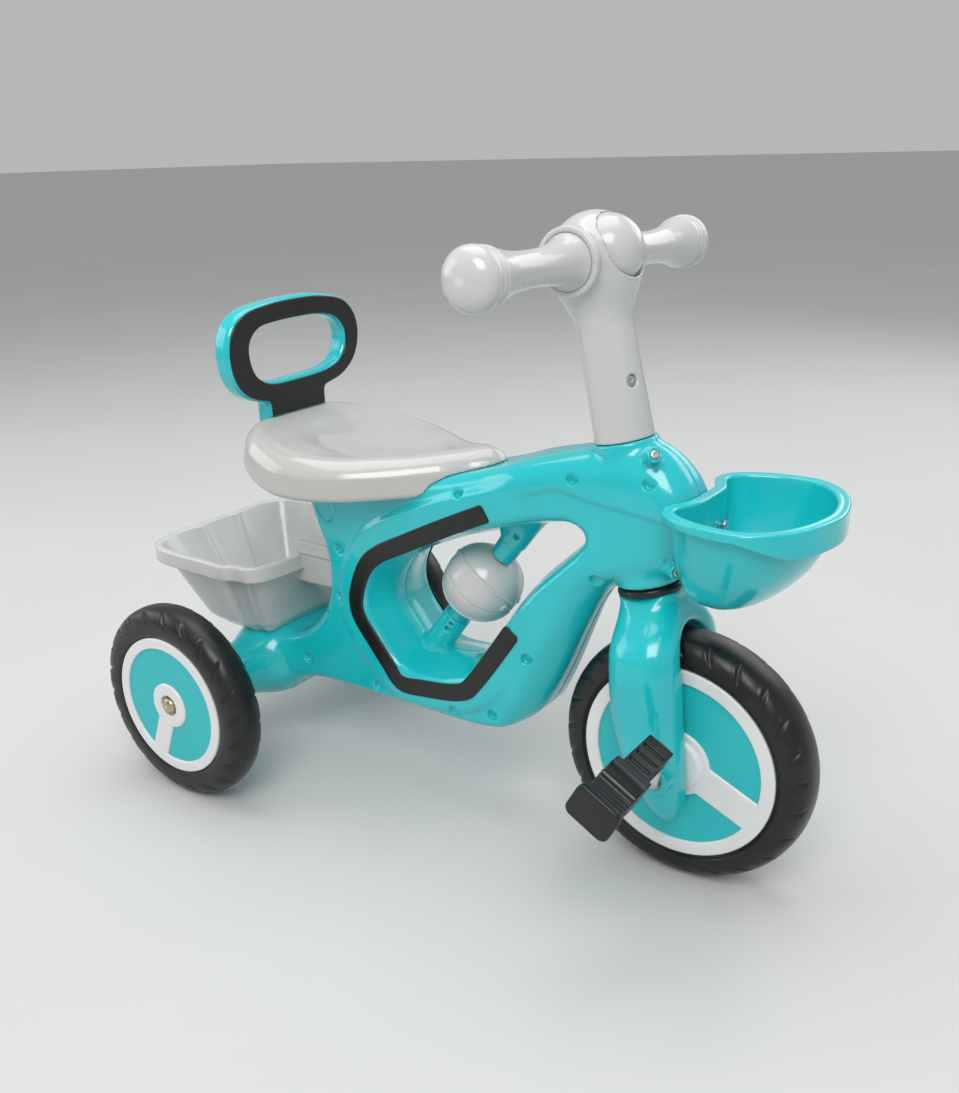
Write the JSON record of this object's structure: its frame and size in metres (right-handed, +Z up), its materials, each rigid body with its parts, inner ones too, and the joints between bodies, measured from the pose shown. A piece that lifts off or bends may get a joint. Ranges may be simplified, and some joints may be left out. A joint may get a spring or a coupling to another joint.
{
  "type": "children's tricycle",
  "caption": "Toddler's pedal tricycle with a moulded open-loop frame, spinning ball, steered pedal front wheel, saddle, push handle and front and rear baskets.",
  "frame": {"origin": "on the floor, under the middle of the tricycle's overall box", "axes": "+X forwards, +Y to the rider's left, +Z up"},
  "size_m": [0.7232, 0.376, 0.5669],
  "materials": {
    "teal_plastic": "high gloss moulded",
    "grey_plastic": "gloss moulded",
    "white_plastic": "gloss moulded",
    "black_plastic": "satin moulded",
    "foam_tyre": "satin foam skin",
    "nylon": "natural nylon",
    "zinc_steel": "bright zinc",
    "bright_steel": "polished"
  },
  "bodies": {
    "frame": {"frame_right_shell": "teal_plastic", "frame_left_shell": "teal_plastic", "frame_screws": "zinc_steel", "accessory_screws": "bright_steel", "trim_right": "black_plastic", "trim_left": "black_plastic", "ball_post_upper": "teal_plastic", "ball_post_lower": "teal_plastic", "ball_spindle": "zinc_steel", "seat": "grey_plastic", "seat_screws": "zinc_steel", "push_handle": "teal_plastic", "push_handle_face": "black_plastic", "push_handle_screws": "zinc_steel", "rear_basket": "grey_plastic", "rear_basket_screws": "zinc_steel", "front_basket": "teal_plastic", "front_basket_screws": "zinc_steel", "headset_bush_lower": "nylon", "headset_bush_upper": "nylon", "rear_axle": "zinc_steel", "rear_axle_nuts": "bright_steel", "rear_axle_spacers": "nylon"},
    "steering": {"fork": "teal_plastic", "fork_bushes": "nylon", "headset_ring": "black_plastic", "steering_tube": "zinc_steel", "stem": "grey_plastic", "stem_dome": "grey_plastic", "stem_bolt": "bright_steel", "grip_right": "grey_plastic", "grip_left": "grey_plastic", "grip_cap_right": "grey_plastic", "grip_cap_left": "grey_plastic"},
    "front_wheel": {"front_tyre": "foam_tyre", "front_rim": "white_plastic", "front_inlay_right": "teal_plastic", "front_inlay_left": "teal_plastic", "crank_axle": "zinc_steel", "pedal_washers": "zinc_steel"},
    "pedal_right": {"pedal_right": "black_plastic"},
    "pedal_left": {"pedal_left": "black_plastic"},
    "rear_wheel_right": {"rear_tyre_right": "foam_tyre", "rear_rim_right": "white_plastic", "rear_inlay_right": "teal_plastic", "rear_bush_right": "nylon"},
    "rear_wheel_left": {"rear_tyre_left": "foam_tyre", "rear_rim_left": "white_plastic", "rear_inlay_left": "teal_plastic", "rear_bush_left": "nylon"},
    "ball": {"ball_half_lower": "grey_plastic", "ball_half_upper": "grey_plastic"}
  },
  "joints": [
    {"name": "steer", "type": "hinge", "parent": "frame", "child": "steering", "pos_m": [0.22635, 0, 0.115], "axis": [-0.2164, 0, 0.9763], "range_deg": [-45, 45]},
    {"name": "front_wheel_spin", "type": "hinge", "parent": "steering", "child": "front_wheel", "pos_m": [0.23385, 0, 0.115], "axis": [0, 1, 0], "continuous": true},
    {"name": "pedal_right_spin", "type": "hinge", "parent": "front_wheel", "child": "pedal_right", "pos_m": [0.24375, -0.135, 0.15787], "axis": [0, 1, 0], "continuous": true},
    {"name": "pedal_left_spin", "type": "hinge", "parent": "front_wheel", "child": "pedal_left", "pos_m": [0.22395, 0.135, 0.07213], "axis": [0, 1, 0], "continuous": true},
    {"name": "rear_wheel_right_spin", "type": "hinge", "parent": "frame", "child": "rear_wheel_right", "pos_m": [-0.24415, -0.157, 0.1005], "axis": [0, 1, 0], "continuous": true},
    {"name": "rear_wheel_left_spin", "type": "hinge", "parent": "frame", "child": "rear_wheel_left", "pos_m": [-0.24415, 0.157, 0.1005], "axis": [0, 1, 0], "continuous": true},
    {"name": "ball_spin", "type": "hinge", "parent": "frame", "child": "ball", "pos_m": [0.01885, 0, 0.229], "axis": [0.599, 0, 0.8007], "continuous": true}
  ]
}
